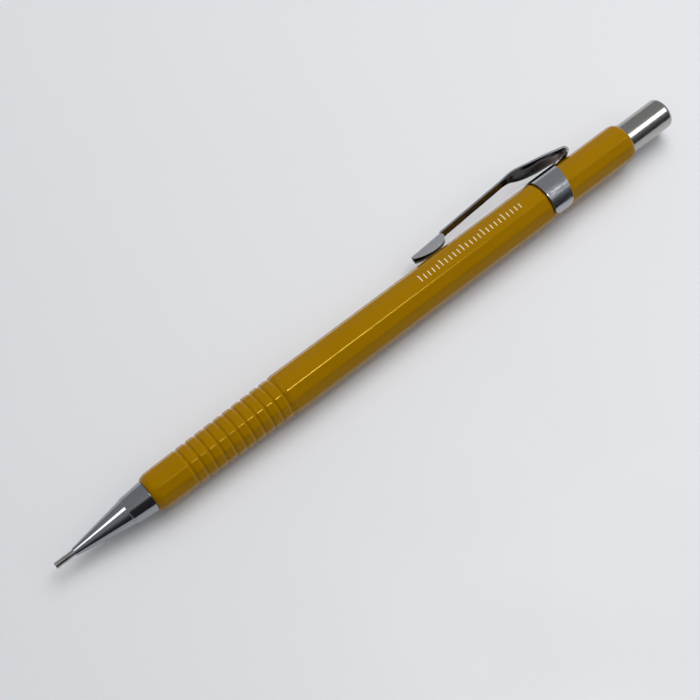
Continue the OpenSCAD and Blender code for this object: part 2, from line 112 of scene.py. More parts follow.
class PencilBarrelSizes(PropertyGroup):
    """Sizes of the barrel and of the scale printed on it."""

    main_width: length("Main width", "Main barrel across its flats", 8.3)
    rear_width: length("Rear width", "Rear barrel across its flats", 7.75)
    grip_front_width: length("Grip front", "Grip across its flats at the front", 7.25)
    grip_rear_width: length("Grip rear", "Grip across its flats at the rear", 8.1)
    edge: length("Edge radius", "Rounding of the long edges", 0.8)
    grip_rear: length("Grip end", "Station where the grip meets the main barrel", 48.6)
    grip_step: length("Grip step", "Length of the rise from the grip to the main barrel", 0.5)
    main_rear: length("Main end", "Station where the main barrel meets the rear barrel", 110.15)
    front_face: length("Front face", "Radius of the barrel's front face", 3.115)
    rear_face: length("Rear face", "Radius of the barrel's rear face", 3.29)
    front_round: length("Front shoulder", "Length of the rounded front shoulder", 2.0)
    rear_round: length("Rear shoulder", "Length of the rounded rear shoulder", 1.6)
    groove_first: length("First groove", "Station of the first grip groove", 27.7)
    groove_pitch: length("Groove pitch", "Distance from groove to groove", 2.04)
    groove_width: length("Groove width", "Width of a groove", 0.95)
    groove_depth: length("Groove depth", "Depth of a groove below the flats", 0.16)
    grooves: count("Grooves", "Number of grip grooves", 11)
    spigot_bore: length("Spigot bore", "Radius of the bore for the cone's spigot", 2.465)
    spigot_room: length("Spigot room", "Room for the clutch's flange behind the spigot", 0.9)
    clutch_bore: length("Clutch bore", "Radius of the bore round the clutch", 2.07)
    tube_bore: length("Tube bore", "Radius of the bore round the lead tube", 2.55)
    cap_bore: length("Cap bore", "Radius of the bore for the push cap", 3.17)
    cap_room: length("Cap room", "Room in front of the push cap", 3.8)
    scale_front: length("Scale start", "Station where the printed scale starts", 81.2)
    scale_step: length("Scale step", "Distance from mark to mark", 1.0)
    scale_stroke: length("Scale stroke", "Width of a printed mark", 0.24)
    scale_foot: angle("Mark foot", "Angle where all marks end", 89)
    scale_short: angle("Short mark", "Angle where a short mark starts", 74)
    scale_long: angle("Long mark", "Angle where a long mark starts", 66)
    scale_group: count("Group", "Every so many marks, one is long", 5)
    scale_marks: count("Marks", "Number of printed marks", 25)


class PencilTipSizes(PropertyGroup):
    """Sizes of the cone, the lead sleeve and the retainer."""

    sleeve_radius: length("Sleeve radius", "Outside radius of the lead sleeve", 0.59)
    sleeve_root: length("Sleeve root", "Radius of the sleeve in front of its shank", 0.68)
    shank_radius: length("Shank radius", "Radius of the sleeve's shank in the cone", 0.85)
    shank_length: length("Shank length", "Length of the sleeve's shank", 2.15)
    bore_radius: length("Bore radius", "Radius of the lead's way", 0.48)
    nose_front: length("Nose front", "Station of the cone's front", 3.8)
    nose_rear: length("Nose rear", "Station of the step between the two cones", 14.9)
    nose_step: length("Nose step", "Length of the step between the two cones", 0.06)
    skirt_rear: length("Skirt rear", "Station where the cone meets the barrel", 19.55)
    nose_front_radius: length("Nose front radius", "Front radius of the slender cone", 0.75)
    nose_rear_radius: length("Nose rear radius", "Rear radius of the slender cone", 2.55)
    skirt_front_radius: length("Skirt front radius", "Front radius of the rear cone", 2.69)
    skirt_rear_radius: length("Skirt rear radius", "Rear radius of the rear cone", 3.075)
    spigot_radius: length("Spigot radius", "Core radius of the threaded spigot", 2.295)
    spigot_rear: length("Spigot rear", "Station of the spigot's end", 27.1)
    spigot_bore: length("Spigot bore", "Radius of the bore in the spigot", 1.995)
    ring_room: length("Ring room", "Radius of the bore for the clutch ring", 1.73)
    ring_travel: length("Ring travel", "Room in front of the clutch ring", 0.9)
    jaw_room: length("Jaw room", "Radius of the bore round the jaws", 1.47)
    washer_room: length("Washer room", "Radius of the bore for the retainer", 1.2)
    thread_height: length("Thread height", "Height of the spigot's thread", 0.12)
    thread_pitch: length("Thread pitch", "Pitch of the spigot's thread", 0.75)


class PencilClutchSizes(PropertyGroup):
    """Sizes of the lead clutch."""

    ring_radius: length("Ring radius", "Outside radius of the clutch ring", 1.68)
    ring_bore: length("Ring bore", "Inside radius of the clutch ring", 1.13)
    head_radius: length("Head radius", "Radius of the jaws' heads", 1.08)
    head_length: length("Head length", "Length of the heads' plain part", 0.8)
    head_rear: length("Head taper", "Where the taper behind the heads ends", 3.0)
    jaw_radius: length("Jaw radius", "Radius of the jaws behind their heads", 0.84)
    jaw_sector: angle("Jaw sector", "Angle that a jaw takes up", 106)
    bevel: length("Bevel", "Bevel of the ring and the heads", 0.2)
    stem_radius: length("Stem radius", "Radius of the collet's tail", 0.94)
    sleeve_radius: length("Sleeve radius", "Outside radius of the clutch sleeve", 1.945)
    sleeve_bore: length("Sleeve bore", "Radius of the spring's room in the sleeve", 1.665)
    neck_bore: length("Neck bore", "Radius of the bore in the sleeve's neck", 1.23)
    neck_length: length("Neck length", "Length of the sleeve's neck", 4.5)
    flange_radius: length("Flange radius", "Radius of the sleeve's flange", 2.415)
    flange_gap: length("Flange gap", "Gap between spigot and flange", 0.05)
    flange: length("Flange", "Thickness of the sleeve's flange", 0.8)
    coil_radius: length("Coil radius", "Mid radius of the spring's coil", 1.395)
    wire_radius: length("Wire radius", "Radius of the spring's wire", 0.145)
    spring_end: length("Spring end", "Room for the wire at each end of the spring", 0.15)
    turns: count("Turns", "Turns of the spring", 9)
    push: length("Push", "Travel of the push cap", 3.0)
    plug_radius: length("Plug radius", "Radius of the connector's front end", 1.615)
    plug_length: length("Plug length", "Length of the connector's front end", 3.8)
    collar_length: length("Collar length", "Length of the connector's collar", 1.5)
    connector_bore: length("Connector bore", "Radius of the lead's way in the connector", 0.6)


class PencilRefillSizes(PropertyGroup):
    """Sizes of the lead tube, the leads, the eraser and the push cap."""

    tube_radius: length("Tube radius", "Outside radius of the lead tube", 1.95)
    tube_bore: length("Tube bore", "Inside radius of the lead tube", 1.6)
    seat_radius: length("Seat radius", "Outside radius of the eraser's seat", 2.7)
    seat_bore: length("Seat bore", "Radius of the seat's room for the eraser", 2.0)
    eraser_radius: length("Eraser radius", "Radius of the eraser", 1.95)
    pin_radius: length("Pin radius", "Radius of the cleaning pin", 0.315)
    lead_radius: length("Lead radius", "Radius of a lead", 0.45)
    spare_place: length("Spare place", "Distance of the spare leads from the axis", 1.12)
    spare_middle: angle("Spare middle", "Angle of the middle spare lead", 270)
    spare_spread: angle("Spare spread", "Angle from one spare lead to the next", 66)
    cap_radius: length("Cap radius", "Outside radius of the push cap", 3.1)
    cap_wall: length("Cap wall", "Wall of the push cap", 0.35)
    cap_round: length("Cap rounding", "Rounding of the push cap's rear edge", 0.9)


class PencilClipSizes(PropertyGroup):
    """Sizes of the clip."""

    sheet: length("Sheet", "Thickness of the sheet metal", 0.4)
    band_radius: length("Band radius", "Radius of the band's mid surface", 4.26)
    band_front: length("Band front", "Station of the band's front edge", 110.55)
    band_rear: length("Band rear", "Station of the band's rear edge at the top", 115.9)
    band_flare: length("Band flare", "How much further back the band reaches at the clip", 0.95)
    band_corner: length("Band corner", "Rounding of the band's free corners", 1.2)
    band_gap: angle("Band gap", "Open angle of the band", 60)
    band_gap_turn: angle("Gap turn", "How far the gap is turned down from opposite the clip", 16)
    tab_lap: length("Tab lap", "How far the tab reaches into the band", 0.5)
    fold_station: length("Fold station", "Station where the fold starts", 120.75)
    fold_height: length("Fold height", "Height of the tab's mid surface over the axis", 4.2717)
    fold_radius: length("Fold radius", "Mid radius of the fold", 0.62)
    fold_width: length("Fold width", "Width of the clip at its fold", 4.6)
    apex_station: length("Apex station", "Station of the arm's highest point", 109.95)
    apex_height: length("Apex height", "Height of the arm's mid line there", 8.15)
    apex_bend: length("Apex bend", "Bend radius at the highest point", 6.0)
    end_station: length("End station", "Station of the arm's front end", 84.15)
    end_height: length("End height", "Height of the arm's mid line there", 6.45)
    arm_width: length("Arm width", "Width of the arm", 1.65)
    arm_lean: angle("Arm lean", "How far the arm leans out at its upper edge", 18)
    runner_length: length("Runner length", "Length of the runner's folded sides", 7.3)
    runner_seat: length("Runner seat", "Height of the runner's lowest point over the axis", 4.37)
    runner_bend: length("Runner bend", "Mid radius of the bend to the runner's sides", 0.42)
    runner_inset: length("Runner inset", "How far the sides stand in from the arm's edges", 0.2)
    runner_least: length("Runner rim", "Depth of the sides below the bend at their ends", 0.2)
    runner_bulge: FloatProperty(
        name="Runner bulge", description="Slope of the sides' bulge at its edges", default=0.4)


class PencilColours(PropertyGroup):
    """Colours of the pencil and its table."""

    barrel: colour("Barrel", "Mustard moulding", "996e00")
    ink: colour("Ink", "Printed scale", "e6d3a8")
    plate: colour("Plate", "Bright plating of the cone", "a2a4aa")
    sheet: colour("Sheet", "Bright sheet metal of the clip", "b4b6bb")
    edge: colour("Sheet edge", "Sheared edges of the clip", "8a8c90")
    # Painted shade: the inside is darker and browner than the sheet, standing in for the shade and the
    # barrel's reflection between clip and barrel
    inside: colour("Sheet inside", "Inside of the clip, darkened with painted shade", "7c7671")
    satin: colour("Satin steel", "Drawn steel of cap, sleeve and wire", "b3b1ae")
    brass: colour("Brass", "Turned brass of the clutch", "c29a45")
    rubber: colour("Rubber", "Lead retainer", "232323")
    polymer: colour("Polymer", "Inner plastic pieces", "3a3a3d")
    eraser: colour("Eraser", "White vinyl", "eeece6")
    graphite: colour("Graphite", "Leads", "2c2c2f")
    table: colour("Table", "Table top", "e0e1e4")


class PencilStudio(PropertyGroup):
    """Camera and light."""

    camera_place: FloatVectorProperty(
        name="Camera place", description="Where the camera stands", subtype="TRANSLATION", unit="LENGTH",
        default=(-0.07988, -0.07884, 0.23707), precision=5)
    camera_turn: FloatVectorProperty(
        name="Camera turn", description="How the camera is turned", subtype="EULER",
        default=(math.radians(23.562), math.radians(0.067), math.radians(-39.246)))
    camera_shift: FloatVectorProperty(
        name="Camera shift", description="Shift of the framing, in picture widths", size=2,
        default=(0.00331, -0.00375), precision=5)
    lens: FloatProperty(name="Lens", description="Focal length for a 36 mm sensor, in mm", default=72.6)
    light: FloatProperty(name="Light", description="Strength of all lamps", default=1.0, min=0)
    table_reach: length("Table reach", "Distance from the table's middle to its edges", 1500)


def sizes(kind):
    """The sizes of a group by name: lengths in millimetres, angles in radians, numbers as they are."""
    group = getattr(bpy.context.scene, kind)
    out = SimpleNamespace()
    for key in type(group).__annotations__:
        value = getattr(group, key)
        setattr(out, key, value / MM if group.bl_rna.properties[key].unit == "LENGTH" else value)
    return out


def stations():
    """Where stations start, in mm from the frame's origin, and the height of the pencil's axis."""
    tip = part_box("lead_sleeve")[0].x
    low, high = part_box("push_cap")
    return -tip / MM, (low.z + high.z) / 2 / MM


def span(node):
    """The stations where a CAD node starts and ends."""
    low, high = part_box(node)
    return [v.x / MM + stations()[0] for v in (low, high)]


def in_frame(points):
    """Points by station and place round the axis, in mm, as points of the frame in metres."""
    start, height = stations()
    return [Vector(((s - start) * MM, y * MM, (z + height) * MM)) for s, y, z in points]


def add(tree, kind, sockets=(), **settings):
    """One shader node with its settings; sockets hold constants or other nodes' outputs."""
    made = tree.nodes.new(kind)
    for key, value in settings.items():
        setattr(made, key, value)
    for key, value in dict(sockets).items():
        if isinstance(value, bpy.types.NodeSocket):
            tree.links.new(value, made.inputs[key])
        else:
            made.inputs[key].default_value = value
    return made


def material(
        name, base, roughness, grain_mm, metallic=0, stretch=(1, 1, 1), shade=0.06, relief_mm=0.002,
        wave_mm=None, sockets=()):
    """A surface whose roughness runs between two values in a grain of that size.

    shade is how much the grain tints the colour, relief_mm how much it stands out, and wave_mm the
    size and depth of slow waves in the surface. Along an axis where stretch is under 1 the grain is
    drawn out, and where it is over 1 the grain is finer.
    """
    found = bpy.data.materials.get(name)
    if found:
        return found
    made = bpy.data.materials.new(name)
    made.use_nodes = True
    tree = made.node_tree
    tree.nodes.clear()
    place = add(tree, "ShaderNodeTexCoord").outputs["Object"]
    place = add(tree, "ShaderNodeMapping", {"Vector": place, "Scale": stretch}).outputs["Vector"]
    grain = add(tree, "ShaderNodeTexNoise", {"Vector": place, "Scale": 1 / (grain_mm * MM), "Detail": 3.0})
    grain = grain.outputs["Fac"]
    # Most of the noise lies between 0.3 and 0.7
    rough = add(tree, "ShaderNodeMapRange", {
        "Value": grain, "From Min": 0.3, "From Max": 0.7, "To Min": roughness[0], "To Max": roughness[1]})
    dark = tuple(c * (1 - shade) for c in base) + (1,)
    light = tuple(min(1, c * (1 + shade)) for c in base) + (1,)
    # Sockets 6 and 7 of the mixing node are its two colours
    tint = add(tree, "ShaderNodeMix", {"Factor": grain, 6: dark, 7: light}, data_type="RGBA")
    bump = add(tree, "ShaderNodeBump", {"Height": grain, "Strength": 0.5, "Distance": relief_mm * MM})
    if wave_mm:
        size, depth = wave_mm
        wave = add(tree, "ShaderNodeTexNoise", {"Vector": place, "Scale": 1 / (size * MM), "Detail": 1.0})
        bump = add(tree, "ShaderNodeBump", {
            "Height": wave.outputs["Fac"], "Strength": 1.0, "Distance": depth * MM,
            "Normal": bump.outputs["Normal"]})
    shader = add(tree, "ShaderNodeBsdfPrincipled", {
        "Base Color": tint.outputs[2], "Metallic": metallic, "Roughness": rough.outputs["Result"],
        "Normal": bump.outputs["Normal"], **dict(sockets)})
    add(tree, "ShaderNodeOutputMaterial", {"Surface": shader.outputs["BSDF"]})
    return made


def materials():
    """Every surface of the pencil, by short name."""
    c = bpy.context.scene.pencil_colours
    return {
        # Glossy injection moulding: a clear sheen, tinted by the pigment, and a faint flow shade
        "barrel": material(
            "Moulded ABS", c.barrel, (0.12, 0.17), 2.5, stretch=(0.35, 1, 1), shade=0.04, relief_mm=0.004,
            sockets={"Specular IOR Level": 0.3, "Specular Tint": (1, 0.7, 0.1, 1)}),
        # Pad-printed ink: flat and a little rough
        "ink": material("Pad-printed ink", c.ink, (0.45, 0.6), 0.2, shade=0.1),
        # Bright plating on turned brass: mirror streaks, spread a little by turning rings, which are
        # too fine to show and so are drawn coarser
        "plate": material(
            "Plated turned brass", c.plate, (0.08, 0.15), 0.35, metallic=1, stretch=(6, 0.4, 0.4),
            shade=0.05, relief_mm=0.0006),
        # Rolled and plated sheet: bright, a little wavy, with soft scratches along the pencil
        "sheet": material(
            "Rolled plated steel", c.sheet, (0.10, 0.2), 0.5, metallic=1, stretch=(0.5, 2, 2),
            shade=0.08, relief_mm=0.0015, wave_mm=(5, 0.12)),
        # Tumbled plating: paler and softer than the rolled sheet; it is less metallic, because its bloom
        # scatters light
        "tumbled": material(
            "Tumbled plated steel", c.sheet, (0.16, 0.2), 1.5, metallic=0.65, stretch=(0.5, 1, 1),
            shade=0.03, relief_mm=0, wave_mm=(6, 0.05)),
        # Sheared edge of the sheet: torn and dull grey
        "edge": material("Sheared steel", c.edge, (0.4, 0.55), 0.3, metallic=0.55, shade=0.1),
        # Inside of the sheet: its colour is darker and browner than the outside. This is painted shade and a
        # painted reflection of the barrel's shaded underside between clip and barrel. The wavy reflections
        # come from its waves
        "inside": material(
            "Thinly plated steel", c.inside, (0.06, 0.12), 0.5, metallic=1, stretch=(0.5, 2, 2),
            shade=0.15, relief_mm=0.0015, wave_mm=(4, 0.2)),
        # Drawn steel: satin lines along the pencil
        "satin": material(
            "Drawn stainless steel", c.satin, (0.12, 0.2), 0.25, metallic=1, stretch=(0.2, 2, 2),
            shade=0.08, relief_mm=0.0003),
        # Turned brass: warm satin rings
        "brass": material(
            "Turned brass", c.brass, (0.2, 0.34), 0.2, metallic=1, stretch=(4, 0.5, 0.5),
            shade=0.1, relief_mm=0.001),
        # Moulded rubber: matt black with a faint bloom
        "rubber": material("Moulded nitrile rubber", c.rubber, (0.6, 0.8), 0.15, shade=0.15, relief_mm=0.01),
        # Moulded inner plastic: plain, half matt
        "polymer": material("Moulded acetal", c.polymer, (0.4, 0.55), 0.5, shade=0.08, relief_mm=0.003),
        # Extruded vinyl: soft white, powdery
        "eraser": material("Extruded vinyl", c.eraser, (0.6, 0.8), 0.4, shade=0.03, relief_mm=0.012),
        # Fired graphite and clay: dark grey, with a dull shine along the lead
        "graphite": material(
            "Fired graphite", c.graphite, (0.35, 0.5), 0.15, metallic=0.3, stretch=(0.3, 1, 1),
            shade=0.15, relief_mm=0.004),
    }


def make_piece(name, points, faces, look, body, nodes, slot, sheet=0.0, bevel=0.0, rim=None):
    """A finished piece: mesh in the frame, smooth shading and its CAD links.

    sheet is the thickness in mm that an open surface is given, and bevel the rounding of its edges. A
    sheet with a rim has its own look inside and the rim's look round its edge.
    """
    mesh = bpy.data.meshes.new(name)
    mesh.from_pydata(in_frame(points), [], faces)
    work = bmesh.new()
    work.from_mesh(mesh)
    bmesh.ops.remove_doubles(work, verts=work.verts, dist=1e-7)
    bmesh.ops.dissolve_degenerate(work, edges=work.edges, dist=1e-8)
    bmesh.ops.recalc_face_normals(work, faces=work.faces)
    work.to_mesh(mesh)
    work.free()
    mesh.shade_smooth()
    if not sheet:
        mesh.set_sharp_from_angle(angle=SHARP_EDGE)
    mesh.materials.append(materials()[look])
    made = bpy.data.objects.new(name, mesh)
    bpy.context.scene.collection.objects.link(made)
    if sheet:
        solid = made.modifiers.new("Sheet", "SOLIDIFY")
        solid.thickness = sheet * MM
        solid.offset = 0
        solid.use_even_offset = True
        if rim:
            # The inner side takes the inside look, whose colour holds painted shade and a painted reflection
            mesh.materials.append(materials()["inside"])
            mesh.materials.append(materials()[rim])
            solid.material_offset = 1
            solid.material_offset_rim = 2
    if bevel:
        round_off = made.modifiers.new("Edges", "BEVEL")
        round_off.width = bevel * MM
        round_off.segments = 3
        round_off.limit_method = "ANGLE"
        round_off.angle_limit = SHEET_EDGE
        round_off.harden_normals = True
    even = made.modifiers.new("Normals", "WEIGHTED_NORMAL")
    even.keep_sharp = True
    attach(made, body)
    if nodes:
        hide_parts(*nodes)
    return made


def rounded(corners, steps=5):
    """A closed outline of [x, y, fillet radius] corners with its corners rounded off."""
    out = []
    for i, (x, y, fillet) in enumerate(corners):
        here = Vector((x, y))
        back = Vector(corners[i - 1][:2]) - here
        ahead = Vector(corners[(i + 1) % len(corners)][:2]) - here
        half = back.angle(ahead, math.pi) / 2
        if fillet <= 0 or half > STRAIGHT:
            out.append((x, y))
            continue
        # A fillet takes up less than half of each side
        cut = min(fillet / math.tan(half), 0.48 * back.length, 0.48 * ahead.length)
        middle = (back.normalized() + ahead.normalized()).normalized()
        centre = here + middle * (cut / math.cos(half))
        first = here + back.normalized() * cut - centre
        last = here + ahead.normalized() * cut - centre
        turn = math.atan2(first.x * last.y - first.y * last.x, first.dot(last))
        for k in range(steps + 1):
            a = turn * k / steps
            out.append((centre.x + first.x * math.cos(a) - first.y * math.sin(a),
                        centre.y + first.x * math.sin(a) + first.y * math.cos(a)))
    return out


def grid_faces(rows, columns, wrap_rows=False, wrap_columns=False, base=0):
    """Faces of a grid of points in rows, whose first point has the number base."""
    faces = []
    for i in range(rows if wrap_rows else rows - 1):
        for j in range(columns if wrap_columns else columns - 1):
            a = base + i * columns
            b = base + (i + 1) % rows * columns
            k = (j + 1) % columns
            faces.append((a + j, a + k, b + k, b + j))
    return faces


def round_axis(s, r, a):
    """The point at a station, a distance from the axis and an angle round it."""
    return s, r * math.cos(a), r * math.sin(a)


def turned(outline, steps=96, start=0.0, sweep=FULL_TURN):
    """Points and faces of an outline of [station, radius] turned round the pencil's axis."""
    full = sweep > FULL_TURN - 1e-6
    columns = steps if full else steps + 1
    points = [round_axis(s, r, start + sweep * k / steps) for s, r in outline for k in range(columns)]
    faces = grid_faces(len(outline), columns, wrap_rows=True, wrap_columns=full)
    if not full:
        faces.append(tuple(i * columns for i in range(len(outline))))
        faces.append(tuple(i * columns + columns - 1 for i in range(len(outline))))
    return points, faces


def tube(s0, s1, outer, inner, edge=0.05):
    """Outline of a plain tube with slightly rounded edges."""
    return rounded([(s0, inner, edge), (s0, outer, edge), (s1, outer, edge), (s1, inner, edge)], 3)


def rod(s0, s1, radius, front_edge, rear_edge, steps):
    """Outline of a plain rod with rounded ends."""
    return rounded([(s0, 0.0, 0.0), (s0, radius, front_edge), (s1, radius, rear_edge), (s1, 0.0, 0.0)], steps)


def ramp(value, low, high):
    """0 below low, 1 above high, and smooth between."""
    t = min(1, max(0, (value - low) / (high - low)))
    return t * t * (3 - 2 * t)


def softer(a, b, blend=0.02):
    """The lesser of two numbers, with a soft change from one to the other."""
    low = min(a, b)
    gap = abs(a - b)
    return low - blend * math.log1p(math.exp(-gap / blend)) if gap < 12 * blend else low


def facet_radius(a, flat, edge):
    """Radius of the many-sided section at an angle; flat is the distance from axis to flat."""
    turn = abs((a + HALF_SIDE) % (2 * HALF_SIDE) - HALF_SIDE)
    inner = flat - edge
    if math.tan(turn) * flat <= inner * math.tan(HALF_SIDE):
        return flat / math.cos(turn)
    corner = inner / math.cos(HALF_SIDE)
    off = HALF_SIDE - turn
    return corner * math.cos(off) + math.sqrt(max(0, edge ** 2 - (corner * math.sin(off)) ** 2))


def facet_angles(per_side=8):
    """Angles round the barrel, closer together at its edges."""
    angles = []
    for side in range(SIDES):
        for k in range(per_side):
            t = 2 * k / per_side - 1
            angles.append(2 * HALF_SIDE * side + HALF_SIDE * math.copysign(abs(t) ** 0.55, t))
    return angles


def barrel_flat(b, front, s):
    """Distance from axis to flat at a station of the barrel."""
    if s >= b.main_rear:
        return b.rear_width / 2
    share = min(1, (s - front) / (b.grip_rear - front))
    grip = (b.grip_front_width * (1 - share) + b.grip_rear_width * share) / 2
    step = ramp(s, b.grip_rear, b.grip_rear + b.grip_step)
    return grip + (b.main_width - b.grip_rear_width) / 2 * step


def barrel_radius(b, front, rear, s, a):
    """Radius of the barrel's skin at a station and an angle."""
    flat = barrel_flat(b, front, s)
    r = facet_radius(a, flat, b.edge)
    groove = round((s - b.groove_first) / b.groove_pitch)
    if 0 <= groove < b.grooves:
        away = abs(s - b.groove_first - groove * b.groove_pitch)
        if away < b.groove_width / 2:
            # A groove follows the facets, with their edges flattened by two fifths
            sunk = 0.5 + 0.5 * math.cos(FULL_TURN * away / b.groove_width)
            r -= sunk * (0.4 * (r - flat) + b.groove_depth)
    corner = flat / math.cos(HALF_SIDE)
    if s < front + b.front_round:
        # The front shoulder is leaner than a quarter circle
        rise = max(0, 1 - (1 - (s - front) / b.front_round) ** 2) ** 0.68
        r = softer(r, b.front_face + (corner - b.front_face) * rise)
    if s > rear - b.rear_round:
        rise = math.sqrt(max(0, 1 - (1 - (rear - s) / b.rear_round) ** 2))
        r = softer(r, b.rear_face + (corner - b.rear_face) * rise)
    return r


def barrel_cuts(b, front, rear):
    """Stations of the barrel's rings: close together where its shape changes."""
    ease = [1 - math.cos(k * math.pi / 20) for k in range(11)]
    cuts = [front + b.front_round * t for t in ease] + [rear - b.rear_round * t for t in ease]
    for i in range(b.grooves):
        middle = b.groove_first + i * b.groove_pitch
        cuts += [middle + b.groove_width * k / 14 for k in range(-9, 10)]
    cuts += [b.grip_rear + b.grip_step * k / 5 for k in range(8)]
    # A sharp step to the rear barrel
    cuts += [b.main_rear + step for step in (-0.3, -0.0001, 0.0001, 0.3)]
    # Elsewhere the rings are this far apart
    plain = 2
    cuts += [front + plain * k for k in range(1, int((rear - front) / plain))]
    return sorted(set(round(s, 4) for s in cuts if front <= s <= rear))


class PENCIL_OT_barrel(Operator):
    """Build the barrel and the plain scale printed on it"""

    bl_idname = "pencil.barrel"
    bl_label = "Barrel"

    def execute(self, context):
        b = sizes("pencil_barrel")
        front, rear = span("barrel")
        angles = facet_angles()
        cuts = barrel_cuts(b, front, rear)
        rings = [(s, [barrel_radius(b, front, rear, s, a) for a in angles]) for s in cuts]
        cap = span("push_cap")[0] - b.cap_room
        middle = span("lead_tube")[0]
        spigot = span("cone_tip")[1] + b.spigot_room
        bores = ((rear, cap, b.cap_bore), (cap, middle, b.tube_bore),
                 (middle, spigot, b.clutch_bore), (spigot, front, b.spigot_bore))
        for first, last, r in bores:
            rings += [(first, [r] * len(angles)), (last, [r] * len(angles))]
        points = [round_axis(s, r, a) for s, radii in rings for r, a in zip(radii, angles)]
        faces = grid_faces(len(rings), len(angles), True, True)
        make_piece("barrel_shell", points, faces, "barrel", "barrel", ["barrel"], "barrel_plastic")

        points, faces = [], []
        # Thickness of the ink, whose middle stands just clear of the skin
        ink = 0.01
        lift = 0.006
        steps = 8
        for i in range(b.scale_marks):
            s = b.scale_front + i * b.scale_step
            top = b.scale_short if i % b.scale_group else b.scale_long
            faces += grid_faces(steps + 1, 2, base=len(points))
            for k in range(steps + 1):
                a = top + (b.scale_foot - top) * k / steps
                r = barrel_radius(b, front, rear, s, a) + lift
                points += [round_axis(s + side * b.scale_stroke, r, a) for side in (-0.5, 0.5)]
        make_piece("barrel_scale", points, faces, "ink", "barrel", [], "barrel_plastic", sheet=ink)
        return {"FINISHED"}


def thread(t):
    """Points and faces of the spigot's thread, whose root lies just under the spigot's skin.

    It leaves a plain land at each end of the spigot. flank is a side's width as a share of the pitch.
    """
    land = 0.6
    cut = 0.05
    around = 96
    root = 0.02
    flank = 0.36
    fade_rows = 10
    rows = int((t.spigot_rear - t.skirt_rear - 2 * land) / cut)
    points = []
    for i in range(rows + 1):
        s = t.skirt_rear + land + cut * i
        fade = ramp(min(i, rows - i), 0, fade_rows)
        for k in range(around):
            phase = (s / t.thread_pitch - k / around) % 1
            crest = max(0, 1 - abs(phase - 0.5) / flank)
            r = t.spigot_radius - root + fade * (t.thread_height + root) * crest
            points.append(round_axis(s, r, FULL_TURN * k / around))
    return points, grid_faces(rows + 1, around, False, True)


class PENCIL_OT_tip(Operator):
    """Build the cone with its thread, the lead sleeve and the retainer"""

    bl_idname = "pencil.tip"
    bl_label = "Tip"

    def execute(self, context):
        t = sizes("pencil_tip")
        washer_front, washer_rear = span("lead_retainer")
        ring_front, ring_rear = span("clutch_ring")
        stop = ring_front - t.ring_travel
        pipe_rear = span("lead_sleeve")[1]
        shank = pipe_rear - t.shank_length
        cone = rounded([
            (t.nose_front, t.sleeve_radius + FIT, 0.0), (t.nose_front, t.nose_front_radius, 0.08),
            (t.nose_rear, t.nose_rear_radius, 0.05), (t.nose_rear + t.nose_step, t.skirt_front_radius, 0.05),
            (t.skirt_rear, t.skirt_rear_radius, 0.08), (t.skirt_rear, t.spigot_radius, 0.0),
            (t.spigot_rear, t.spigot_radius, 0.1), (t.spigot_rear, t.spigot_bore, 0.05),
            (ring_rear, t.spigot_bore, 0.0), (ring_rear, t.ring_room, 0.0),
            (stop, t.ring_room, 0.0), (stop, t.jaw_room, 0.0),
            (washer_rear, t.jaw_room, 0.0), (washer_rear, t.washer_room, 0.0),
            (washer_front, t.washer_room, 0.0), (washer_front, t.shank_radius + FIT, 0.0),
            (shank, t.shank_radius + FIT, 0.0), (shank, t.sleeve_radius + FIT, 0.0)])
        make_piece("cone_skin", *turned(cone, 128), "plate", "tip", ["cone_tip"], "plated_metal")
        make_piece("cone_thread", *thread(t), "plate", "tip", [], "plated_metal")
        pipe = rounded([
            (0, t.bore_radius, 0.03), (0, t.sleeve_radius, 0.07), (t.nose_front, t.sleeve_radius, 0.0),
            (shank, t.sleeve_root, 0.0), (shank, t.shank_radius, 0.03),
            (pipe_rear, t.shank_radius, 0.03), (pipe_rear, t.bore_radius, 0.03)])
        make_piece("sleeve_pipe", *turned(pipe, 64), "satin", "tip", ["lead_sleeve"], "sleeve_steel")
        washer = tube(washer_front + FIT, washer_rear - FIT, t.washer_room - FIT, t.bore_radius, 0.12)
        make_piece(
            "retainer_washer", *turned(washer, 64), "rubber", "tip", ["lead_retainer"], "retainer_rubber")
        return {"FINISHED"}


def spring_coil(c, front, rear):
    """Points and faces of the spring's wire, wound between two stations."""
    around, wire = 32, 12
    first = front + c.spring_end
    last = rear - c.spring_end
    steps = c.turns * around
    points = []
    for i in range(steps + 1):
        s = first + (last - first) * i / steps
        for k in range(wire):
            w = FULL_TURN * k / wire
            r = c.coil_radius + c.wire_radius * math.cos(w)
            points.append(round_axis(s + c.wire_radius * math.sin(w), r, FULL_TURN * i / around))
    faces = grid_faces(steps + 1, wire, False, True)
    faces += [tuple(range(wire)), tuple(range(len(points) - wire, len(points)))]
    return points, faces


